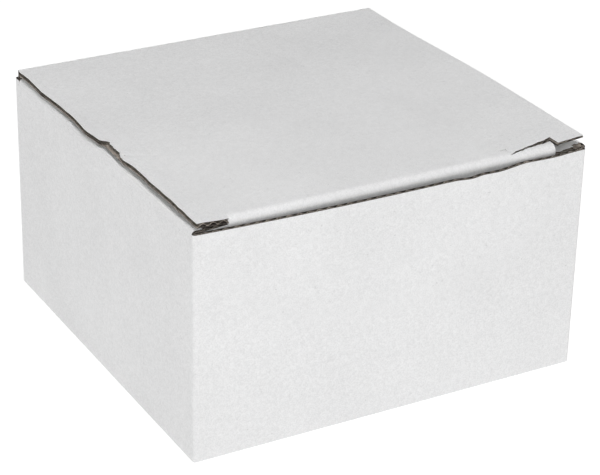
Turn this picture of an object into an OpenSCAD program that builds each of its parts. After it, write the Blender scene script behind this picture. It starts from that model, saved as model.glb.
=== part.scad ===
// Tuck-top carton for cryogenic vials, in white micro-corrugated board, with a snap-lock
// bottom and a cell divider of slotted strips.
// The front is the tuck side, at -Y. The lid is creased to the back wall. +Z is up, and the
// origin is the centre of the footprint, on the surface that the carton stands on.

/* [Carton] */
// Outside width, side wall to side wall
box_w = 135; // [130:1:150]
// Outside depth, front wall to back wall
box_d = 131; // [125:1:150]
// Height of the front wall, up to its cut edge
wall_h = 75.2; // [73:0.1:100]
// Thickness of the corrugated board
board_t = 1.5; // [1.2:0.1:1.8]
// Outside radius of the four upright creases
corner_r = 1.2; // [0.6:0.1:1.5]
// Space left between a panel's folded edge and the panel that it is creased to
crease_gap = 0.1; // [0.05:0.05:0.2]

/* [Lid] */
// Distance of the lid's side edges from the outside of the side walls
lid_inset = 1.2; // [0.5:0.1:1.5]
// Length of the slit at each end of the tuck crease
slit_len = 10.3; // [6:0.1:14]
// Distance of the lid's front corners from the outside of the front wall
lid_setback = 0.5; // [0.3:0.1:0.8]

/* [Tuck flap] */
// Length of the tuck flap, from its crease to its free edge
tuck_len = 20; // [15:1:20]
// Lean of the tuck flap towards the inside, in degrees
tuck_lean = 10; // [9:1:12]
// Radius of the tuck flap's free corners
tuck_corner_r = 9; // [5:1:10]

/* [Dust flaps] */
// Reach of a dust flap across the opening
dust_reach = 42; // [30:1:48]
// Angle of a dust flap's rear edge, in degrees
dust_taper = 35; // [33:1:42]
// Radius of a dust flap's free corners
dust_corner_r = 6; // [3:1:8]

/* [Bottom] */
// Reach of the two side flaps of the bottom
side_flap_reach = 40; // [30:1:40]
// Width of the tongue that locks the bottom
tongue_w = 46; // [36:1:46]
// Length of the tongue's flat end
tongue_end = 22; // [16:1:24]
// Width of the glue flap
glue_w = 25; // [18:1:25]

/* [Divider] */
// Number of cells from side to side
cells_x = 5; // [3:1:7]
// Number of cells from front to back
cells_y = 5; // [3:1:7]
// Thickness of a divider strip
strip_t = 0.8; // [0.5:0.1:1]
// Height of a divider strip
strip_h = 46; // [30:1:46]
// Play of a strip in the slot of another one
slot_play = 0.2; // [0.1:0.1:0.4]

/* [Hidden] */
rows = [for (i = [1 : cells_y - 1]) str("divider_row_", i)];
columns = [for (i = [1 : cells_x - 1]) str("divider_column_", i)];
$fn = 48;
arc_steps = 8;
overlap = 1;

// Inside of the four walls
inner_w = box_w - 2 * board_t;
inner_d = box_d - 2 * board_t;

// Levels of the closed top: front wall, dust flaps, lid
layer_gap = 0.2;
lid_z = wall_h + board_t + layer_gap;
side_wall_h = wall_h - crease_gap;
back_wall_h = lid_z - crease_gap;

// Crease axes
dust_axis_x = box_w / 2 - board_t / 2;
dust_axis_z = wall_h + board_t / 2;
lid_axis_y = box_d / 2 - board_t / 2;
lid_axis_z = lid_z + board_t / 2;
tuck_play = 0.1;
tuck_axis_y = -(inner_d / 2 - tuck_play - board_t / 2);

// Lid panel
lid_half_w = box_w / 2 - lid_inset;
lid_front_y = -(box_d / 2 - lid_setback);
lid_crease_y = tuck_axis_y + board_t / 2 + 0.3;
tuck_crease_half = lid_half_w - slit_len;

// Tuck flap, in its own plane: across the carton, and down from the crease
tuck_side_gap = 0.2;
tuck_half_w = inner_w / 2 - 0.7;
tuck_taper = 2;
ear_top = 2.6;

// Dust flaps, in plan
dust_front_y = -(inner_d / 2 - 3.2);
dust_back_y = lid_axis_y - 2.75;
dust_front_taper = 1.5;

// Bottom: three layers of flaps, with the tongue as the fourth
flap_side_gap = 0.5;
front_flap_edge = -4;
front_flap_taper = 6;
tongue_run = 12;
tongue_corner = 6;
notch_play = 2;
back_flap_edge = -14;
back_flap_taper = 5;
notch_root = front_flap_edge + tongue_run + 0.3;
side_flap_taper = 20;
floor_z = 4 * board_t;

// Glue flap
glue_z = 8;
glue_h = 64;
glue_taper = 6;

// Divider
divider_front = -(inner_d / 2 - 0.6);
divider_back = inner_d / 2 - board_t - 0.5;
divider_side_play = 1;
divider_half_w = inner_w / 2 - divider_side_play;
divider_mid_y = (divider_front + divider_back) / 2;
column_pitch = inner_w / cells_x;
row_pitch = (divider_back - divider_front) / cells_y;
slot_w = strip_t + slot_play;

// Points of an arc about c
function arc(c, r, from, to) =
    [for (i = [0 : arc_steps]) let (a = from + (to - from) * i / arc_steps) c + r * [cos(a), sin(a)]];

function column_x(i) = (i - cells_x / 2) * column_pitch;
function row_y(i) = divider_mid_y + (i - cells_y / 2) * row_pitch;

// Footprint with rounded corners
module footprint() {
    square([box_w - 2 * corner_r, box_d], center = true);
    square([box_w, box_d - 2 * corner_r], center = true);
    for (x = [-1, 1], y = [-1, 1])
        translate([x * (box_w / 2 - corner_r), y * (box_d / 2 - corner_r)]) circle(corner_r);
}

// Upright wall, mitred into its neighbours at the corner creases. It stands at the -Y side of a
// sleeve that measures width by depth.
module wall(width, depth, height) {
    linear_extrude(height) polygon([
        [-width / 2, -depth / 2],
        [width / 2, -depth / 2],
        [width / 2 - board_t, -depth / 2 + board_t],
        [-width / 2 + board_t, -depth / 2 + board_t]
    ]);
}

// Cuts what is inside it down to the rounded footprint
module round_corners() {
    intersection() {
        children();
        linear_extrude(back_wall_h + overlap) footprint();
    }
}

module front_wall() {
    color("whitesmoke") round_corners() wall(box_w, box_d, wall_h);
}

module left_wall() {
    color("gainsboro") round_corners() rotate(-90) wall(box_d, box_w, side_wall_h);
}

module back_wall() {
    color("whitesmoke") round_corners() rotate(180) wall(box_w, box_d, back_wall_h);
}

module right_wall() {
    color("gainsboro") round_corners() rotate(90) wall(box_d, box_w, side_wall_h);
}

// Flap on the left wall that is glued to the inside of the back wall
module glue_flap() {
    color("lightgray") translate([-inner_w / 2, inner_d / 2, glue_z]) rotate([90, 0, 0])
        linear_extrude(board_t)
            polygon([[0, 0], [glue_w, glue_taper], [glue_w, glue_h - glue_taper], [0, glue_h]]);
}

// Outermost flap of the bottom, with a tongue that rises through the notch of the back flap
module bottom_front_flap() {
    hinge_half = inner_w / 2 - flap_side_gap;
    tongue_y = front_flap_edge + tongue_run;
    color("gainsboro") {
        linear_extrude(board_t) polygon([
            [-hinge_half, -inner_d / 2],
            [hinge_half, -inner_d / 2],
            [hinge_half - front_flap_taper, front_flap_edge],
            [-hinge_half + front_flap_taper, front_flap_edge]
        ]);
        rotate([90, 0, 90]) linear_extrude(tongue_w, center = true) polygon([
            [front_flap_edge, 0],
            [tongue_y, 3 * board_t],
            [tongue_y, 4 * board_t],
            [front_flap_edge, board_t]
        ]);
        translate([0, tongue_y, 3 * board_t]) linear_extrude(board_t) polygon([
            [-tongue_w / 2, 0],
            [tongue_w / 2, 0],
            [tongue_w / 2, tongue_end - tongue_corner],
            [tongue_w / 2 - tongue_corner, tongue_end],
            [-tongue_w / 2 + tongue_corner, tongue_end],
            [-tongue_w / 2, tongue_end - tongue_corner]
        ]);
    }
}

// Side flap of the bottom, between the front flap and the back flap
module bottom_side_flap() {
    hinge_half = inner_d / 2 - flap_side_gap;
    color("lightgray") translate([0, 0, board_t]) linear_extrude(board_t) polygon([
        [-inner_w / 2, -hinge_half],
        [-inner_w / 2 + side_flap_reach, -hinge_half + side_flap_taper],
        [-inner_w / 2 + side_flap_reach, hinge_half - side_flap_taper],
        [-inner_w / 2, hinge_half]
    ]);
}

module bottom_left_flap() {
    bottom_side_flap();
}

module bottom_right_flap() {
    mirror([1, 0, 0]) bottom_side_flap();
}

// Large flap of the bottom, with the notch that the tongue locks into
module bottom_back_flap() {
    hinge_half = inner_w / 2 - flap_side_gap;
    notch_half = tongue_w / 2 + notch_play;
    color("gainsboro") translate([0, 0, 2 * board_t]) linear_extrude(board_t) polygon([
        [hinge_half, inner_d / 2],
        [-hinge_half, inner_d / 2],
        [-hinge_half + back_flap_taper, back_flap_edge],
        [-notch_half, back_flap_edge],
        [-notch_half, notch_root],
        [notch_half, notch_root],
        [notch_half, back_flap_edge],
        [hinge_half - back_flap_taper, back_flap_edge]
    ]);
}

// Lid, creased to the back wall. A slit frees each of its front corners from the tuck flap.
module lid_panel() {
    color("white") {
        translate([0, 0, lid_z]) linear_extrude(board_t) polygon([
            [-lid_half_w, lid_axis_y],
            [-lid_half_w, lid_front_y],
            [-tuck_crease_half, lid_front_y],
            [-tuck_crease_half, lid_crease_y],
            [tuck_crease_half, lid_crease_y],
            [tuck_crease_half, lid_front_y],
            [lid_half_w, lid_front_y],
            [lid_half_w, lid_axis_y]
        ]);
        translate([0, lid_axis_y, lid_axis_z]) rotate([0, 90, 0])
            cylinder(d = board_t, h = 2 * lid_half_w, center = true);
    }
}

// Tuck flap: a folded edge along the crease, and below it a panel with an ear beyond each end
module tuck_flap() {
    r = tuck_corner_r;
    fold_half = tuck_crease_half - tuck_side_gap;
    corner = [tuck_half_w - tuck_taper - r, tuck_len - r];
    color("whitesmoke") translate([0, tuck_axis_y, lid_axis_z]) rotate([tuck_lean - 90, 0, 0]) {
        rotate([0, 90, 0]) cylinder(d = board_t, h = 2 * fold_half, center = true);
        linear_extrude(board_t, center = true) polygon(concat(
            [[fold_half, 0], [fold_half, ear_top], [tuck_half_w, ear_top]],
            arc(corner, r, 0, 90),
            arc([-corner.x, corner.y], r, 90, 180),
            [[-tuck_half_w, ear_top], [-fold_half, ear_top], [-fold_half, 0]]
        ));
    }
}

// Dust flap of the left wall. Its rear edge slopes, so that it can rise under the lid.
module dust_flap() {
    r = dust_corner_r;
    start_x = -dust_axis_x;
    end_x = start_x + dust_reach;
    front = dust_front_y + dust_front_taper;
    turn = 90 - dust_taper;
    back = dust_back_y - dust_reach * tan(dust_taper) - r * tan(turn / 2);
    color("gainsboro") {
        translate([0, 0, wall_h]) linear_extrude(board_t) polygon(concat(
            [[start_x, dust_back_y], [start_x, dust_front_y]],
            arc([end_x - r, front + r], r, -90, 0),
            arc([end_x - r, back], r, 0, turn)
        ));
        translate([start_x, (dust_front_y + dust_back_y) / 2, dust_axis_z]) rotate([90, 0, 0])
            cylinder(d = board_t, h = dust_back_y - dust_front_y, center = true);
    }
}

module left_dust_flap() {
    dust_flap();
}

module right_dust_flap() {
    mirror([1, 0, 0]) dust_flap();
}

// Strip that runs from side to side, slotted from above
module divider_row(i) {
    color("antiquewhite") translate([0, row_y(i), floor_z]) rotate([90, 0, 0])
        linear_extrude(strip_t, center = true) difference() {
            translate([-divider_half_w, 0]) square([2 * divider_half_w, strip_h]);
            for (j = [1 : cells_x - 1])
                translate([column_x(j) - slot_w / 2, strip_h / 2]) square([slot_w, strip_h]);
        }
}

// Strip that runs from front to back, slotted from below
module divider_column(i) {
    color("navajowhite") translate([column_x(i), 0, floor_z]) rotate([90, 0, 90])
        linear_extrude(strip_t, center = true) difference() {
            translate([divider_front, 0]) square([divider_back - divider_front, strip_h]);
            for (j = [1 : cells_y - 1])
                translate([row_y(j) - slot_w / 2, -strip_h / 2]) square([slot_w, strip_h]);
        }
}

front_wall();
left_wall();
back_wall();
right_wall();
glue_flap();
bottom_front_flap();
bottom_left_flap();
bottom_right_flap();
bottom_back_flap();
lid_panel();
tuck_flap();
left_dust_flap();
right_dust_flap();
for (i = [1 : cells_y - 1]) divider_row(i);
for (i = [1 : cells_x - 1]) divider_column(i);
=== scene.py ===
"""White tuck-top carton in corrugated board, with a cell divider inside, on a pale studio floor.

Lengths are in millimetres up to the point where a mesh is made. Every board is built as the real one
is: an outer liner, a fluted medium and an inner liner. A board is laid out flat first. There, u runs
across its flutes, v along them, and w from its inner face to its outer face. A function then places
the flat board in the carton, and bends, folds or dents it on the way.
"""
import math

import bpy
import numpy as np
from mathutils import Matrix, Vector


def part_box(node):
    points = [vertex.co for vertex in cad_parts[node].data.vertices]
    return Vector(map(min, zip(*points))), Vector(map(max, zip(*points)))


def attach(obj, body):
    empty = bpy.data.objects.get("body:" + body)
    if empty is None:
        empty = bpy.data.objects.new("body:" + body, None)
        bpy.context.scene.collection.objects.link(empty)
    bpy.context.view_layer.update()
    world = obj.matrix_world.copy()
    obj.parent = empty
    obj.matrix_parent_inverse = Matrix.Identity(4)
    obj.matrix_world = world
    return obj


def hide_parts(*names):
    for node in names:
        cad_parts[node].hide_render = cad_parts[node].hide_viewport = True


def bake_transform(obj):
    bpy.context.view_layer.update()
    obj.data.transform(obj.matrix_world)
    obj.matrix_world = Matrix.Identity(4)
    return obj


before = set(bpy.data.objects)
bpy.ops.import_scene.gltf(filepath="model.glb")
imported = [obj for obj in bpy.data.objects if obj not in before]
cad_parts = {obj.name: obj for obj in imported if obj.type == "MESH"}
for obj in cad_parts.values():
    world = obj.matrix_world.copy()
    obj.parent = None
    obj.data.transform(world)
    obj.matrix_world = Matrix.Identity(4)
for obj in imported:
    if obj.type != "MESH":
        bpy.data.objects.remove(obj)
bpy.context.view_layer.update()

MM = 0.001


def span(node):
    """Lowest and highest corner of a CAD node, in millimetres."""
    low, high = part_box(node)
    return np.array(low) / MM, np.array(high) / MM


# ---------------------------------------------------------------- sizes taken from the frame

wall_low, wall_high = span("front_wall")
HALF_W = -span("left_wall")[0][0]
HALF_D = -wall_low[1]
BOARD = wall_high[1] - wall_low[1]
WALL_TOP = wall_high[2]
INNER_W = HALF_W - BOARD
INNER_D = HALF_D - BOARD
SIDE_TOP = span("left_wall")[1][2]
lid_low, lid_high = span("lid_panel")
tuck_low, tuck_high = span("tuck_flap")
dust_low, dust_high = span("left_dust_flap")

# ---------------------------------------------------------------- board

LINER = 0.2
MEDIUM = 0.2
PITCH = 3.3
WAVE = (BOARD - 2 * LINER - MEDIUM) / 2

# How far the flutes show through the liners
WASHBOARD = 0.008

# Mesh steps across the flutes, along them, and along the medium of a flat board
FINE = 0.4
ROW_STEP = 4.0
COARSE_STEP = 12.0

# Steps in the flat outline's edges, which can't be quite vertical, and the bottom's height above the floor
STEP = 0.02
CLEAR = 0.02

# Material slots of a board's pieces. BACK, on the liners' backs and cut edges, takes a near-black brown:
# painted shade for the flute channels and the gaps between boards
OUTER, INNER, CORE, BACK = 0, 1, 2, 3

# Sides of a sheet: its two faces, its ends along v, and its flanks along u
OVER, UNDER, END, FLANK = 0, 1, 2, 3

# ---------------------------------------------------------------- carton

# Outer radii of the upright corners, the bottom edges and the creases at the top
CORNER_R = 0.9
BOTTOM_R = 0.4
FOLD_R = 1.3

# How far a wrapping liner goes past a corner's bend, and a plain one stops short of it
CORNER_LAP = 0.25

# How far the medium of the front and back walls goes past the inner corners
CORE_LAP = 0.6

# How much thinner the board is in and beyond a crease
CRUSH = 0.2

# The front wall is pushed out at its top edge by the tuck flap: an arch, and (place, width, height) of
# the bumps and dents to the right of its middle
BOW = 1.95
BOW_POWER = 3.0
DENT_POWER = 24.0
WALL_DENTS = ((24, 3.5, 1.0), (34, 5, 0.7), (45, 4.5, -0.6), (56, 4, 0.25))

# ---------------------------------------------------------------- lid and tuck flap

# The lid has settled, and a little more at its rear
SETTLE = 0.3
REAR_DROP = 0.25
LID_TOP = lid_high[2] - SETTLE
LID_HALF = lid_high[0]

# How far its right and left edges stand up, and how much of the board is left where it is crushed
RIGHT_LIFT = 1.85
LEFT_LIFT = 0.5
PINCH = 0.5

# (place, width, height) of the waves in the lid's left edge
EDGE_WAVES = ((44, 9, 0.8), (10, 6, 0.85), (-24, 8, -0.75), (-44, 14, -0.5), (66, 9, 0.9))

# The roll between the lid and the tuck flap. FROM and END are where it starts and ends along v. Across
# the box, it goes from HALF left of the middle to RIGHT right of it
ROLL_R = 2.3
ROLL_FRONT = INNER_D + 0.25
ROLL_FROM = ROLL_FRONT - ROLL_R
ROLL_HALF = 55.8
ROLL_RIGHT = 56.8
ROLL_PUSH = 0.36
LEAN = math.radians(10)
ROLL_TURN = math.pi / 2 + LEAN
ROLL_END = ROLL_FROM + ROLL_R * ROLL_TURN

# Where the lid's mesh ends and the roll's begins, where the roll's ends, and the tops of the flap's ears
LID_SEAM = 60.0
TUCK_SEAM = ROLL_END + 1.8
EAR_TOP_LEFT = ROLL_END + 0.3
EAR_TOP_RIGHT = ROLL_END + 1.8
EAR_RISE = 0.7

# The slits at the ends of the roll, and the crack that runs into the right one
SLIT_LEFT = -56.0
SLIT_RIGHT = 56.9
SLIT_END = ROLL_FROM + 0.8
CRACK_TIP = 41.0
FRONT_EDGE = -lid_low[1]

# The crease at the rear of the lid
REAR_Y = 62.0
BACK_SEAM = 74.5
BACK_RISE = LID_TOP - REAR_DROP - FOLD_R

# ---------------------------------------------------------------- dust flaps

# Along v: the wall's mesh ends at SEAM, the bend goes from RISE to START, and the flap begins at PANEL
DUST_SEAM = 73.4
DUST_RISE = 74.9
DUST_START = DUST_RISE + FOLD_R * math.pi / 2
DUST_PANEL = DUST_START + 2.2

# Further along v than any board goes: a dust flap stays crushed to its end
BEYOND = 1000.0

# Wear: how far both sag, the slope that one droops by, its crease's bulge, and where its shoulder ends
SAG = 0.6
DROOP = {"left": 0.0, "right": 0.12}
BULGE = {"left": 0.0, "right": 0.55}
HOOK = {"left": 61.7, "right": 63.6}


def smooth(x, low, high):
    """0 below low, 1 above high, and a smooth step between them."""
    t = np.clip((x - low) / (high - low), 0, 1)
    return t * t * (3 - 2 * t)


def hill(x, middle, width):
    """1 at the middle, falling off to 0 in about twice the width."""
    return np.exp(-((x - middle) / width) ** 2)


def hills(x, places):
    """The sum of hills, each given as its place, width and height."""
    return sum(height * hill(x, middle, width) for middle, width, height in places)


def ripple(x, seed):
    """Irregular curve along x, from about -1 to 1, the same on each run."""
    waves = ((0.9, 0.5), (2.3, 0.3), (5.1, 0.2))
    return sum(size * np.sin(rate * x + seed * (3 + rate)) for rate, size in waves)


# ---------------------------------------------------------------- meshes


def columns(start, end, step, *edges):
    """Places along u: even steps, and the corners of the outline's edges."""
    u = list(np.arange(start, end, step)) + [end]
    for edge in edges:
        if not np.isscalar(edge):
            u += [point[0] for point in edge if start < point[0] < end]
    return np.unique(np.round(u, 4))


def level(edge, u):
    """An outline's edge at each u: it is one number, or a list of (u, v) corners."""
    if np.isscalar(edge):
        return np.full(len(u), float(edge))
    return np.interp(u, [point[0] for point in edge], [point[1] for point in edge])


def strip(a, b):
    """Quads between two rows of points."""
    return np.stack([a[:-1], a[1:], b[1:], b[:-1]], axis=-1).reshape(-1, 4)


def even(length, step):
    """Rows of a sheet at even steps, as shares of its length from 0 to 1."""
    return np.linspace(0, 1, max(3, int(length / step) + 1))


def sheet(u, share, low, high, under, over):
    """Closed sheet over an outline: its flat points (u, v, w), its quads, and the side each quad is on."""
    rows = len(share)
    v = low + (high - low) * share[:, None]
    across = np.broadcast_to(u, v.shape)
    faces = [np.stack([across, v, np.broadcast_to(w, v.shape)], axis=-1) for w in (under, over)]
    points = np.concatenate([face.reshape(-1, 3) for face in faces])
    index = np.arange(len(points)).reshape(2, rows, len(u))
    bottom, top = index
    over_quads = np.concatenate([strip(top[i], top[i + 1]) for i in range(rows - 1)])
    under_quads = np.concatenate([strip(bottom[i + 1], bottom[i]) for i in range(rows - 1)])
    ends = np.concatenate([strip(bottom[0], top[0]), strip(top[-1], bottom[-1])])
    flanks = np.concatenate([strip(top[:, 0], bottom[:, 0]), strip(bottom[:, -1], top[:, -1])])
    groups = (over_quads, under_quads, ends, flanks)
    sides = np.repeat((OVER, UNDER, END, FLANK), [len(group) for group in groups])
    return points, np.concatenate(groups), sides


def volume(points, quads):
    """Six times the signed volume inside closed quads."""
    corner = points[quads]
    halves = (corner[:, [0, 1, 2]], corner[:, [0, 2, 3]])
    return sum(np.einsum("ij,ij->i", h[:, 0], np.cross(h[:, 1], h[:, 2])).sum() for h in halves)


def placed(flat, quads, sides, place, slots):
    """A sheet put in its place, with its quads facing outwards. slots has a material slot for each side."""
    points = np.stack(place(flat[:, 0], flat[:, 1], flat[:, 2]), axis=-1)
    if volume(points, quads) < 0:
        quads = quads[:, ::-1]
    return points, quads, np.array(slots)[sides]


def plies(place, start, end, low, high, keep=("outer", "medium", "inner"), phase=0.0,
          row_step=ROW_STEP, core_step=COARSE_STEP, share=None):
    """The plies of a board. Its outline runs from start to end along u, and from low to high along v.

    Only the liners' outward faces are bleached. The medium is brown. The liners' backs and cut edges are a
    near-black brown, painted shade for the dark flute channels and the gaps between boards.
    """
    u = columns(start, end, FINE, low, high)
    v_low, v_high = level(low, u), level(high, u)
    length = np.max(v_high - v_low)
    fine = even(length, row_step) if share is None else share
    wave = np.sin(2 * math.pi * (u - phase) / PITCH)
    middle = BOARD / 2 + WAVE * wave
    show = WASHBOARD * wave
    made = []
    if "outer" in keep:
        flat = sheet(u, fine, v_low, v_high, BOARD - LINER + show, BOARD + show)
        made.append(placed(*flat, place, (OUTER, BACK, BACK, BACK)))
    if "inner" in keep:
        flat = sheet(u, fine, v_low, v_high, show, LINER + show)
        made.append(placed(*flat, place, (BACK, INNER, BACK, CORE)))
    if "medium" in keep:
        flat = sheet(u, even(length, core_step), v_low, v_high, middle - MEDIUM / 2, middle + MEDIUM / 2)
        made.append(placed(*flat, place, (CORE, CORE, CORE, CORE)))
    return made


def solid(place, start, end, low, high, thickness):
    """One solid board: its faces take the first material slot, and its cut edges the second."""
    u = columns(start, end, 2.0, low, high)
    v_low, v_high = level(low, u), level(high, u)
    share = even(np.max(v_high - v_low), ROW_STEP)
    return [placed(*sheet(u, share, v_low, v_high, 0.0, thickness), place, (0, 0, 1, 1))]


def piece(name, parts, materials):
    """One mesh object made of these parts."""
    points = np.concatenate([part[0] for part in parts]) * MM
    offsets = np.cumsum([0] + [len(part[0]) for part in parts[:-1]])
    quads = np.concatenate([part[1] + offset for part, offset in zip(parts, offsets)])
    slots = np.concatenate([np.broadcast_to(part[2], len(part[1])) for part in parts]).astype(np.int32)
    mesh = bpy.data.meshes.new(name)
    mesh.vertices.add(len(points))
    mesh.vertices.foreach_set("co", points.astype(np.float32).ravel())
    mesh.loops.add(quads.size)
    mesh.loops.foreach_set("vertex_index", quads.astype(np.int32).ravel())
    mesh.polygons.add(len(quads))
    mesh.polygons.foreach_set("loop_start", np.arange(0, quads.size, 4, dtype=np.int32))
    mesh.polygons.foreach_set("material_index", slots)
    mesh.polygons.foreach_set("use_smooth", np.ones(len(quads), bool))
    mesh.update(calc_edges=True)
    mesh.validate()
    mesh.set_sharp_from_angle(angle=math.radians(40))
    for material in materials:
        mesh.materials.append(material)
    made = bpy.data.objects.new(name, mesh)
    bpy.context.scene.collection.objects.link(made)
    return made


def arc(centre, radius, start, end, steps=8):
    """Corners (u, v) along an arc, from one angle in degrees to another."""
    angles = np.radians(np.linspace(start, end, steps + 1))
    return [(centre[0] + radius * math.cos(a), centre[1] + radius * math.sin(a)) for a in angles]


# ---------------------------------------------------------------- materials

REMAP_SOCKETS = ("From Min", "From Max", "To Min", "To Max")


class Shader:
    """Builds one material's nodes. Its coordinates are the object's own, in millimetres."""

    def __init__(self, name):
        self.material = bpy.data.materials.new(name)
        self.material.use_nodes = True
        self.nodes = self.material.node_tree.nodes
        self.links = self.material.node_tree.links
        self.surface = self.nodes["Principled BSDF"]
        place = self.nodes.new("ShaderNodeTexCoord")
        scale = self.nodes.new("ShaderNodeMapping")
        scale.inputs["Scale"].default_value = (1 / MM, 1 / MM, 1 / MM)
        self.links.new(place.outputs["Object"], scale.inputs["Vector"])
        self.place = scale.outputs["Vector"]

    def stretched(self, amounts):
        """The coordinates, scaled along each axis."""
        stretch = self.nodes.new("ShaderNodeMapping")
        stretch.inputs["Scale"].default_value = amounts
        self.links.new(self.place, stretch.inputs["Vector"])
        return stretch.outputs["Vector"]

    def noise(self, per_mm, detail=2.0, place=None):
        made = self.nodes.new("ShaderNodeTexNoise")
        made.inputs["Scale"].default_value = per_mm
        made.inputs["Detail"].default_value = detail
        self.links.new(place or self.place, made.inputs["Vector"])
        return made.outputs["Fac"]

    def remap(self, value, low, high, to_low, to_high):
        """Values from low to high, mapped to the other range and held at its ends."""
        made = self.nodes.new("ShaderNodeMapRange")
        self.links.new(value, made.inputs["Value"])
        for socket, number in zip(REMAP_SOCKETS, (low, high, to_low, to_high)):
            made.inputs[socket].default_value = number
        return made.outputs["Result"]

    def times(self, a, b):
        made = self.nodes.new("ShaderNodeMath")
        made.operation = "MULTIPLY"
        self.links.new(a, made.inputs[0])
        self.links.new(b, made.inputs[1])
        return made.outputs["Value"]

    def tinted(self, colour, value):
        """The colour, multiplied by a value at each point."""
        made = self.nodes.new("ShaderNodeVectorMath")
        made.operation = "SCALE"
        made.inputs[0].default_value = colour
        self.links.new(value, made.inputs["Scale"])
        return made.outputs["Vector"]

    def bump(self, height, millimetres):
        made = self.nodes.new("ShaderNodeBump")
        made.inputs["Distance"].default_value = millimetres * MM
        self.links.new(height, made.inputs["Height"])
        self.links.new(made.outputs["Normal"], self.surface.inputs["Normal"])

    def join(self, value, socket):
        self.links.new(value, self.surface.inputs[socket])


def liner(name, colour, mottle, gloss):
    """Bleached liner: fibre clouds, fine mottle, a few dark specks, faint handling marks."""
    shader = Shader(name)
    clouds = shader.remap(shader.noise(0.035, 3.0), 0.3, 0.7, 1 - 0.5 * mottle, 1 + 0.5 * mottle)
    fibres = shader.remap(shader.noise(0.75, 3.0), 0.28, 0.72, 1 - 0.7 * mottle, 1 + 0.7 * mottle)
    grain = shader.remap(shader.noise(2.6, 2.0), 0.35, 0.65, 1 - 1.2 * mottle, 1 + 1.2 * mottle)
    specks = shader.remap(shader.noise(1.1, 0.0), 0.8, 0.86, 1.0, 0.86)
    marks = shader.remap(shader.noise(0.09, 2.0, shader.stretched((1.0, 0.5, 1.0))), 0.66, 0.8, 1.0, 0.975)
    tone = clouds
    for layer in (fibres, grain, specks, marks):
        tone = shader.times(tone, layer)
    shader.join(shader.tinted(colour, tone), "Base Color")
    shader.join(shader.remap(shader.noise(0.5, 2.0), 0.3, 0.7, gloss - 0.05, gloss + 0.05), "Roughness")
    shader.bump(shader.noise(1.6, 3.0), 0.03)
    return shader.material


def kraft(name, colour, contrast):
    """Unbleached paper: brownish grey, with long fibres."""
    shader = Shader(name)
    long_fibres = shader.noise(2.0, 3.0, shader.stretched((1.0, 1.0, 0.3)))
    fibres = shader.remap(long_fibres, 0.3, 0.7, 1 - contrast, 1 + contrast)
    patches = shader.remap(shader.noise(0.5, 2.0), 0.3, 0.7, 1 - 0.6 * contrast, 1 + 0.6 * contrast)
    shader.join(shader.tinted(colour, shader.times(fibres, patches)), "Base Color")
    shader.surface.inputs["Roughness"].default_value = 0.9
    shader.surface.inputs["Specular IOR Level"].default_value = 0.2
    shader.bump(shader.noise(3.0, 3.0), 0.05)
    return shader.material


OUTER_LINER = liner("outer_liner", (0.84, 0.84, 0.842), 0.05, 0.55)
INNER_LINER = liner("inner_liner", (0.79, 0.785, 0.77), 0.05, 0.75)
FLUTING = kraft("fluting", (0.33, 0.29, 0.25), 0.5)
# Near-black brown for the liners' backs and cut edges, much darker than the kraft medium: painted shade for
# the flute channels and the gaps between boards
LINER_BACK_SHADE = kraft("liner_back_painted_shade", (0.085, 0.075, 0.066), 0.3)
BOARD_LOOKS = (OUTER_LINER, INNER_LINER, FLUTING, LINER_BACK_SHADE)
DIVIDER_FACE = liner("divider_face", (0.78, 0.77, 0.74), 0.03, 0.65)
DIVIDER_EDGE = kraft("divider_edge", (0.5, 0.48, 0.44), 0.25)

# ---------------------------------------------------------------- walls


def bow(x, z):
    """How far the front wall is pushed out. The bumps and dents are only near its top edge."""
    arch = BOW * np.clip(1 - (x / INNER_W) ** 2, 0, None)
    height = np.clip(z / WALL_TOP, 0, 1)
    return arch * height ** BOW_POWER + hills(x, WALL_DENTS) * height ** DENT_POWER


def upright(half, face, turns, bowed=False):
    """Places a wall: half its width, its outer face's distance from the middle, and its quarter turns."""
    cos, sin = round(math.cos(turns * math.pi / 2)), round(math.sin(turns * math.pi / 2))

    def place(u, v, w):
        depth = BOARD - w
        under = np.clip((BOTTOM_R - v) / BOTTOM_R, 0, math.pi)
        curled = under > 0
        depth = np.where(curled, np.maximum(depth, 0), depth)
        height = np.where(curled, BOTTOM_R - (BOTTOM_R - depth) * np.sin(under), v)
        depth = np.where(curled, BOTTOM_R - (BOTTOM_R - depth) * np.cos(under), depth)
        past = np.abs(u) - (half - CORNER_R)
        turn = np.clip(past / CORNER_R, 0, math.pi / 2)
        lap = np.maximum(past - CORNER_R * math.pi / 2, 0)
        radius = np.maximum(CORNER_R - depth, 0)
        rounded = past > 0
        x = np.where(rounded, np.sign(u) * (half - CORNER_R + radius * np.sin(turn)), u)
        y = np.where(rounded, -face + CORNER_R - radius * np.cos(turn) + lap, -face + depth)
        if bowed:
            y = y - bow(x, height)
        return cos * x - sin * y, sin * x + cos * y, height

    return place


def wall(name, half, face, turns, top, body="carton", wraps=False, bowed=False):
    """One wall of the carton. The front and back walls' outer liner wraps the corner creases."""
    place = upright(half, face, turns, bowed)
    flat = half - CORNER_R
    reach = flat + CORNER_R * math.pi / 2 + CORNER_LAP if wraps else flat - CORNER_LAP
    core = half - BOARD + CORE_LAP if wraps else half - BOARD
    curl = BOTTOM_R - BOTTOM_R * math.pi
    height = np.max(level(top, np.array([0.0])))
    in_curl = np.arange(curl, BOTTOM_R, 0.1)
    above = np.arange(BOTTOM_R, height, 3.0)
    rows = np.concatenate([in_curl, above])
    share = np.append((rows - curl) / (height - curl), 1.0)
    made = plies(place, -reach, reach, curl, top, keep=("outer",), share=share)
    made += plies(place, -core, core, BOTTOM_R + 0.1, top, keep=("medium",), core_step=3.0)
    made += plies(place, -(half - BOARD), half - BOARD, BOTTOM_R, top, keep=("inner",), row_step=3.0)
    shown = piece(name, made, BOARD_LOOKS)
    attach(shown, body)
    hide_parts(name)


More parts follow.
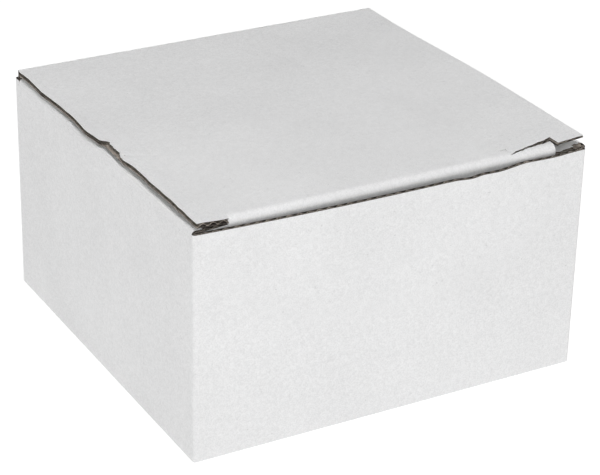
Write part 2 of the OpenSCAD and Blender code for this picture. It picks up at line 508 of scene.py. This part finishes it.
back_top = [(-LID_HALF - STEP, SIDE_TOP), (-LID_HALF, BACK_SEAM)]
back_top += [(LID_HALF, BACK_SEAM), (LID_HALF + STEP, SIDE_TOP)]
DUST_ENDS = (-(HALF_D - CORNER_R - CORNER_LAP), dust_high[1])
side_top = [(DUST_ENDS[0], DUST_SEAM), (DUST_ENDS[1], DUST_SEAM), (DUST_ENDS[1] + STEP, SIDE_TOP)]
side_top_mirrored = [(-u, v) for u, v in reversed(side_top)]

wall("front_wall", HALF_W, HALF_D, 0, WALL_TOP, wraps=True, bowed=True)
wall("back_wall", HALF_W, HALF_D, 2, back_top, wraps=True)
wall("left_wall", HALF_D, HALF_W, 3, side_top_mirrored)
wall("right_wall", HALF_D, HALF_W, 1, side_top)


def glue_flap():
    """Flap on the left wall, glued to the inside of the back wall."""
    low, high = span("glue_flap")
    taper = 6.0

    def place(u, v, w):
        return u, low[1] + w, v

    bottom = [(low[0], low[2]), (high[0], low[2] + taper)]
    top = [(low[0], high[2]), (high[0], high[2] - taper)]
    shown = piece("glue_flap", plies(place, low[0], high[0], bottom, top), BOARD_LOOKS)
    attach(shown, "carton")
    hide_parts("glue_flap")


glue_flap()

# ---------------------------------------------------------------- bottom


def bottom_front_flap():
    """Outermost flap of the bottom. Its tongue rises through the notch of the back flap."""
    low, high = span("bottom_front_flap")
    edge, root, tongue_half, corner, taper = -4.0, 8.0, 23.0, 6.0, 6.0
    rise = high[2] - BOARD

    def place(u, v, w):
        return u, v, CLEAR + rise * np.clip((v - edge) / (root - edge), 0, 1) + BOARD - w

    half = high[0]
    tip = high[1]
    front = -HALF_D + BOTTOM_R
    outline = [(-half, low[1]), (-half + taper, edge), (-tongue_half - STEP, edge)]
    outline += [(-tongue_half, tip - corner), (-tongue_half + corner, tip)]
    outline += [(tongue_half - corner, tip), (tongue_half, tip - corner)]
    outline += [(tongue_half + STEP, edge), (half - taper, edge), (half, low[1])]
    made = plies(place, -half, half, front, outline, keep=("outer",))
    made += plies(place, -half, half, low[1] - STEP, outline, keep=("medium", "inner"))
    shown = piece("bottom_front_flap", made, BOARD_LOOKS)
    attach(shown, "carton")
    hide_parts("bottom_front_flap")


def bottom_side_flap(name, side):
    """Side flap of the bottom: side is -1 on the left and 1 on the right."""
    low, high = span(name)
    taper = 20.0
    start = INNER_W
    reach = high[0] - low[0]

    def place(u, v, w):
        return side * (start - v), u, low[2] + BOARD - w

    outline = [(low[1], STEP), (low[1] + taper, reach), (high[1] - taper, reach), (high[1], STEP)]
    shown = piece(name, plies(place, low[1], high[1], 0.0, outline), BOARD_LOOKS)
    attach(shown, "carton")
    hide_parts(name)


def bottom_back_flap():
    """Large flap of the bottom, with the notch that takes the tongue."""
    low, high = span("bottom_back_flap")
    notch_half, notch_root, taper = 25.0, 8.3, 5.0

    def place(u, v, w):
        return u, v, low[2] + BOARD - w

    half = high[0]
    outline = [(-half, high[1] - STEP), (-half + taper, low[1]), (-notch_half - STEP, low[1])]
    outline += [(-notch_half, notch_root), (notch_half, notch_root)]
    outline += [(notch_half + STEP, low[1]), (half - taper, low[1]), (half, high[1] - STEP)]
    shown = piece("bottom_back_flap", plies(place, -half, half, outline, high[1]), BOARD_LOOKS)
    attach(shown, "carton")
    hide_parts("bottom_back_flap")


bottom_front_flap()
bottom_side_flap("bottom_left_flap", -1)
bottom_side_flap("bottom_right_flap", 1)
bottom_back_flap()

# ---------------------------------------------------------------- lid, tuck flap and their creases


def bite(y):
    """Where along the lid's left edge a piece has been torn out."""
    return smooth(-y, -1.0, 1.2) * (1 - smooth(-y, 9.5, 14.5))


def lid_edge(y):
    """How far the lid's left edge stands out. It is wavy, from being cut and pressed."""
    return hills(y, EDGE_WAVES) + 0.12 * ripple(0.8 * y, 2) - 0.8 * bite(y)


def torn(y):
    """How far the outer liner is torn back beyond the rest of the board, along the lid's left edge."""
    notch = 0.6 * hill(y, -1.6, 0.9)
    return bite(y) * (0.7 + 0.3 * ripple(2.6 * y, 5) + 0.15 * ripple(7.0 * y, 1)) + notch


def lift(x, y):
    """How far the lid stands up along its right edge to the corner, and a little along its left edge."""
    right = RIGHT_LIFT * np.clip((x - 38) / 28, 0, 1) ** 1.2 * smooth(-y, -55, 20)
    return right + LEFT_LIFT * smooth(-x, ROLL_HALF, LID_HALF) * smooth(-y, -30, 55)


def pinch(u, v):
    """How far the board is crushed where it was cut: the lid's right edge, and the tab in front of it."""
    edge = smooth(u, LID_HALF - 1.4, LID_HALF)
    tab = smooth(u, SLIT_RIGHT - 1, SLIT_RIGHT + 1) * smooth(v, LID_SEAM + 1.5, FRONT_EDGE)
    return (1 - PINCH) * np.maximum(edge, tab)


def lid_path(u, v, w):
    """Places the lid's board: flat, then round the roll, then down the tuck flap. v is 0 at the middle."""
    turn = np.clip((v - ROLL_FROM) / ROLL_R, 0, ROLL_TURN)
    down = np.maximum(v - ROLL_END, 0)
    radius = ROLL_R - (BOARD - w)
    push = ROLL_PUSH * np.clip(1 - (u / ROLL_HALF) ** 2, 0, 1) * smooth(v, 30, ROLL_FROM)
    y = -np.minimum(v, ROLL_FROM) - radius * np.sin(turn) + down * math.sin(LEAN) - push
    z = LID_TOP - ROLL_R + radius * np.cos(turn) - down * math.cos(LEAN)
    return u, y, z - REAR_DROP * np.clip((LID_SEAM - v) / (LID_SEAM + REAR_Y), 0, 1)


def lid_place(u, v, w):
    """The lid, with its wavy and torn left edge, dents beside the tear, and its lifted right edge."""
    w = BOARD - (BOARD - w) * (1 - pinch(u, v))
    x, y, z = lid_path(u, v, w)
    tab = np.where(u < SLIT_LEFT + STEP / 2, 1.0, smooth(u, CRACK_TIP, CRACK_TIP + 6))
    tab = tab * (v > ROLL_FROM)
    y = y * (1 - tab) - v * tab
    z = z * (1 - tab) + (LID_TOP - BOARD + w) * tab
    near = smooth(-u, LID_HALF - 9, LID_HALF)
    outer = smooth(w, 0.1 * BOARD, 0.95 * BOARD)
    z = z - np.where(w < BOARD - LINER - WASHBOARD, 0.5 * w, 0) * bite(y) * near ** 4
    x = x - near * lid_edge(y) + near ** 4 * outer * torn(y)
    dents = hill(y, -13, 7) * smooth(-u, LID_HALF - 12, LID_HALF - 1)
    z = z + dents * (0.3 * ripple(1.3 * y + 0.6 * u, 1) - 0.15) + lift(x, y)
    return x, y, z


def crack(u):
    """Line along which the board has cracked between the lid and the roll, from its tip to the slit."""
    return 63.2 - 2.6 * ((u - CRACK_TIP) / (SLIT_RIGHT - CRACK_TIP)) + 0.25 * ripple(1.6 * u, 3)


def crack_gap(u):
    """Width of the crack: a small hole near its tip, then a hairline that opens towards the slit."""
    return 0.05 + 0.25 * hill(u, CRACK_TIP + 2, 1) + 0.03 * np.clip(u - CRACK_TIP - 6, 0, None)


crack_line = [(u, crack(u)) for u in np.linspace(CRACK_TIP, SLIT_RIGHT, 24)]


def lid_panel():
    front = [(-LID_HALF, FRONT_EDGE), (SLIT_LEFT, FRONT_EDGE), (SLIT_LEFT + STEP, LID_SEAM)]
    front += [(CRACK_TIP - STEP, LID_SEAM)] + crack_line
    front += [(SLIT_RIGHT + STEP, FRONT_EDGE), (LID_HALF, FRONT_EDGE)]
    behind = np.arange(-REAR_Y, -2, 3.0)
    beside_tear = np.arange(-2, 17, 0.45)
    ahead = np.arange(17, FRONT_EDGE, 2.0)
    rows = np.concatenate([behind, beside_tear, ahead])
    share = np.append((rows + REAR_Y) / (FRONT_EDGE + REAR_Y), 1.0)
    made = plies(lid_place, -LID_HALF, LID_HALF, -REAR_Y, front, phase=PITCH / 4, share=share)
    shown = piece("lid_panel", made, BOARD_LOOKS)
    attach(shown, "lid")
    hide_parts("lid_panel")


def tuck_roll():
    """The rounded fold between the lid and the tuck flap."""
    gap = [(u, v + crack_gap(u)) for u, v in crack_line if u < ROLL_RIGHT]
    start = [(SLIT_LEFT + STEP, LID_SEAM), (CRACK_TIP - STEP, LID_SEAM)] + gap
    end = [(SLIT_LEFT + STEP, SLIT_END), (-ROLL_HALF - STEP, SLIT_END), (-ROLL_HALF, TUCK_SEAM)]
    end += [(ROLL_RIGHT, TUCK_SEAM)]
    made = plies(lid_path, SLIT_LEFT + STEP, ROLL_RIGHT, start, end, phase=PITCH / 4,
                 row_step=0.35, core_step=0.5)
    shown = piece("tuck_roll", made, BOARD_LOOKS)
    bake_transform(shown)


def tuck_flap():
    """The tuck flap below its roll, with an ear beyond each end."""
    radius, taper, below_top = 9.0, 2.0, 3.3
    half = tuck_high[0]
    length = EAR_TOP_LEFT + (tuck_high[2] - below_top - tuck_low[2]) / math.cos(LEAN)
    corner = (half - taper - radius, length - radius)
    round_right = arc(corner, radius, 90, 0)
    round_left = [(-u, v) for u, v in reversed(round_right)]
    bottom = [(-half, EAR_TOP_LEFT + 2)] + round_left + round_right + [(half, EAR_TOP_RIGHT + 1)]
    top = [(-half, EAR_TOP_LEFT), (-ROLL_HALF - STEP, EAR_TOP_LEFT - EAR_RISE), (-ROLL_HALF, TUCK_SEAM)]
    top += [(ROLL_RIGHT, TUCK_SEAM), (ROLL_RIGHT + STEP, EAR_TOP_RIGHT)]
    shown = piece("tuck_flap", plies(lid_path, -half, half, top, bottom, phase=PITCH / 4), BOARD_LOOKS)
    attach(shown, "tuck")
    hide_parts("tuck_flap")


def fold(v, w, rise, thin_from, thin_to):
    """A crease at the top of a wall: how far in from its face, and how high, each point of the board is."""
    turn = np.clip((v - rise) / FOLD_R, 0, math.pi / 2)
    past = np.maximum(v - rise - FOLD_R * math.pi / 2, 0)
    crushed = smooth(v, thin_from, rise) * (1 - smooth(v, thin_to, thin_to + 2.0))
    depth = (BOARD - w) * (1 - crushed * CRUSH / BOARD)
    inward = FOLD_R - (FOLD_R - depth) * np.cos(turn) + past
    return inward, np.minimum(v, rise) + (FOLD_R - depth) * np.sin(turn)


def lid_crease():
    """The crease between the back wall and the lid."""
    bend = BACK_RISE + FOLD_R * math.pi / 2
    end = bend + HALF_D - FOLD_R - REAR_Y

    def place(u, v, w):
        inward, up = fold(v, w, BACK_RISE, BACK_SEAM, bend)
        near = smooth(-u, LID_HALF - 9, LID_HALF) * smooth(v, BACK_RISE, end)
        return u - near * lid_edge(REAR_Y), HALF_D - inward, up

    made = plies(place, -LID_HALF, LID_HALF, BACK_SEAM, end, phase=PITCH / 4, row_step=0.3, core_step=0.4)
    shown = piece("lid_crease", made, BOARD_LOOKS)
    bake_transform(shown)


lid_panel()
tuck_roll()
tuck_flap()
lid_crease()

# ---------------------------------------------------------------- dust flaps


def dust_place(name, side):
    """Places a dust flap's board, which goes up its wall, over the crease and across the opening."""

    def place(u, v, w):
        inward, up = fold(v, w, DUST_RISE, DUST_SEAM, BEYOND)
        sag = SAG * smooth(u, -62, -50) * smooth(v, DUST_SEAM, DUST_RISE)
        bulge = BULGE[name] * smooth(-u, 50, 62) * hill(v, DUST_RISE + 1.0, 0.9)
        up = up - sag - DROOP[name] * np.maximum(v - DUST_START, 0) + 0.6 * bulge
        return side * (HALF_W - inward + bulge), u, up

    return place


def dust_crease(name, side):
    """The crease between a side wall and its dust flap. On the right, its liner is torn at the front."""
    place = dust_place(name, side)

    def frayed(u, v, w):
        tear = 1.9 + 0.5 * ripple(2.2 * v, 4) + 0.25 * ripple(6.0 * v, 2)
        tear = tear * smooth(-u, 56, -DUST_ENDS[0]) * smooth(v, DUST_RISE + 0.6, DUST_RISE + 1.4)
        return place(u + tear, v, w)

    def crumpled(u, v, w):
        x, y, z = place(u, v, w)
        loose = smooth(-u, 60, -DUST_ENDS[0]) * smooth(v, DUST_RISE, DUST_RISE + 0.6)
        return x, y + 0.25 * loose * ripple(4 * v, 1), z + loose * (0.25 + 0.22 * ripple(5 * v + 3 * u, 3))

    at_right = name == "right"
    reach = (DUST_ENDS[0], DUST_ENDS[1], DUST_SEAM, DUST_PANEL)
    liner_place, core_place = (frayed, crumpled) if at_right else (place, place)
    made = plies(liner_place, *reach, keep=("outer",), row_step=0.3)
    made += plies(core_place, *reach, keep=("medium", "inner"), row_step=0.3, core_step=0.3)
    shown = piece(name + "_dust_crease", made, BOARD_LOOKS)
    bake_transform(shown)


def dust_flap(name, side):
    """A dust flap, with a shoulder at its front that the lid's slit locks on."""
    radius, slope, shoulder = 6.0, math.radians(35), 6.5
    hook = -HOOK[name]
    end = DUST_START + (dust_high[0] - dust_low[0]) - FOLD_R
    front = dust_low[1] + 1.5
    turn = math.pi / 2 - slope
    rear = dust_high[1] - (end - DUST_START) * math.tan(slope)
    outline = [(hook, DUST_PANEL + shoulder - 1.5), (hook + 1.0, DUST_PANEL + shoulder)]
    outline += [(dust_low[1] - STEP, DUST_PANEL + shoulder + 0.5)]
    outline += arc((front + radius, end - radius), radius, 180, 90)
    middle = rear - radius * math.tan(turn / 2)
    outline += arc((middle, end - radius), radius, 90, math.degrees(math.pi / 2 - turn))
    outline += [(dust_high[1] - 3.0, DUST_PANEL + STEP)]
    place = dust_place(name, side)

    def wavy(u, v, w):
        return place(u + 0.35 * ripple(0.9 * v, 6) * smooth(-u, 58, HOOK[name]), v, w)

    made = plies(wavy, hook, dust_high[1] - 3.0, DUST_PANEL, outline, row_step=1.5)
    shown = piece(name + "_dust_flap", made, BOARD_LOOKS)
    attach(shown, name + "_dust")
    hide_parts(name + "_dust_flap")


for name, side in (("left", -1), ("right", 1)):
    dust_crease(name, side)
    dust_flap(name, side)

# ---------------------------------------------------------------- cell divider

SLOT = 1.0
row_names = sorted(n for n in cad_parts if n.startswith("divider_row"))
column_names = sorted(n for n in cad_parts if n.startswith("divider_column"))


def slotted(start, end, plain, cut, crossings):
    """An edge at plain, with a slot that reaches to cut at each crossing strip."""
    half = SLOT / 2
    corners = [(start, plain)]
    for c in crossings:
        corners += [(c - half - STEP, plain), (c - half, cut)]
        corners += [(c + half, cut), (c + half + STEP, plain)]
    return corners + [(end, plain)]


def middle_of(node, axis):
    low, high = span(node)
    return (low[axis] + high[axis]) / 2


def divider_strip(name, along, crossing, slots_above):
    """One strip: along is the axis that it runs along, and crossing the strips that cross it."""
    low, high = span(name)
    across = 1 - along
    half_way = (low[2] + high[2]) / 2
    crossings = sorted(middle_of(node, along) for node in crossing)
    cut = slotted(low[along], high[along], high[2] if slots_above else low[2], half_way, crossings)
    bottom, top = (low[2], cut) if slots_above else (cut, high[2])

    def place(u, v, w):
        out = low[across] + w
        return (u, out, v) if along == 0 else (out, u, v)

    made = solid(place, low[along], high[along], bottom, top, high[across] - low[across])
    shown = piece(name, made, (DIVIDER_FACE, DIVIDER_EDGE))
    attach(shown, "carton")
    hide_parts(name)


for node in row_names:
    divider_strip(node, 0, column_names, True)
for node in column_names:
    divider_strip(node, 1, row_names, False)

# ---------------------------------------------------------------- studio

scene = bpy.context.scene
scene.view_settings.view_transform = "Standard"


def camera():
    """The camera: where it looks, and from which side, height, tilt and distance."""
    azimuth, elevation, roll = math.radians(-29.508), math.radians(26.459), math.radians(1.317)
    target = Vector((1.36, -4.66, 32.4)) * MM
    distance = 711.07 * MM
    away = Vector((math.sin(azimuth), -math.cos(azimuth), 0))
    back = away * math.cos(elevation) + Vector((0, 0, math.sin(elevation)))
    level_right = Vector((math.cos(azimuth), math.sin(azimuth), 0))
    level_up = back.cross(level_right)
    right = level_right * math.cos(roll) + level_up * math.sin(roll)
    up = back.cross(right)
    data = bpy.data.cameras.new("camera")
    data.lens = 131.3
    data.sensor_width = 36.0
    made = bpy.data.objects.new("camera", data)
    facing = Matrix((right, up, back)).transposed().to_4x4()
    made.matrix_world = Matrix.Translation(target + back * distance) @ facing
    scene.collection.objects.link(made)
    scene.camera = made


def area_light(name, position, target, size, watts):
    """A square soft light at a place in metres, facing the target."""
    data = bpy.data.lights.new(name, "AREA")
    data.size = size
    data.energy = watts
    made = bpy.data.objects.new(name, data)
    made.location = position
    made.rotation_euler = (Vector(target) - Vector(position)).to_track_quat("-Z", "Y").to_euler()
    scene.collection.objects.link(made)


def sky(low, high, glow, dim):
    """Studio backdrop: it glows up to a low height, and fades to dim above a high one (in degrees)."""
    world = bpy.data.worlds.new("studio")
    world.use_nodes = True
    nodes = world.node_tree.nodes
    links = world.node_tree.links
    direction = nodes.new("ShaderNodeTexCoord")
    split = nodes.new("ShaderNodeSeparateXYZ")
    fade = nodes.new("ShaderNodeMapRange")
    links.new(direction.outputs["Generated"], split.inputs["Vector"])
    links.new(split.outputs["Z"], fade.inputs["Value"])
    rise = (math.sin(math.radians(low)), math.sin(math.radians(high)))
    for socket, number in zip(REMAP_SOCKETS, rise + (glow, dim)):
        fade.inputs[socket].default_value = number
    background = nodes["Background"]
    background.inputs["Color"].default_value = (1, 1, 1, 1)
    links.new(fade.outputs["Result"], background.inputs["Strength"])
    scene.world = world


def floor(size, glow, colour):
    """A pale floor that glows a little, as a lit white table does in an overexposed photograph."""
    mesh = bpy.data.meshes.new("floor")
    corners = [(-size, -size, 0), (size, -size, 0), (size, size, 0), (-size, size, 0)]
    mesh.from_pydata(corners, [], [(0, 1, 2, 3)])
    made = bpy.data.objects.new("floor", mesh)
    scene.collection.objects.link(made)
    shader = Shader("floor")
    shade = shader.remap(shader.noise(0.01, 2.0), 0.3, 0.7, 0.995, 1.0)
    shader.join(shader.tinted((colour, colour, colour), shade), "Base Color")
    shader.surface.inputs["Roughness"].default_value = 0.9
    shader.surface.inputs["Specular IOR Level"].default_value = 0.0
    shader.surface.inputs["Emission Color"].default_value = (1, 1, 1, 1)
    shader.surface.inputs["Emission Strength"].default_value = glow
    mesh.materials.append(shader.material)


SOFTBOX = 0.4
SOFTBOXES = (
    ("near", (-0.3, -0.45, 0.45), 1.1),
    ("top", (0.0, -0.2, 1.1), 6.2),
    ("back", (0.1, 0.8, 0.6), 0.55),
)

camera()
sky(6, 25, 0.9, 0.03)
floor(4.0, 0.88, 0.3)
for name, position, watts in SOFTBOXES:
    area_light(name, position, (0, 0, 0.05), SOFTBOX, watts)
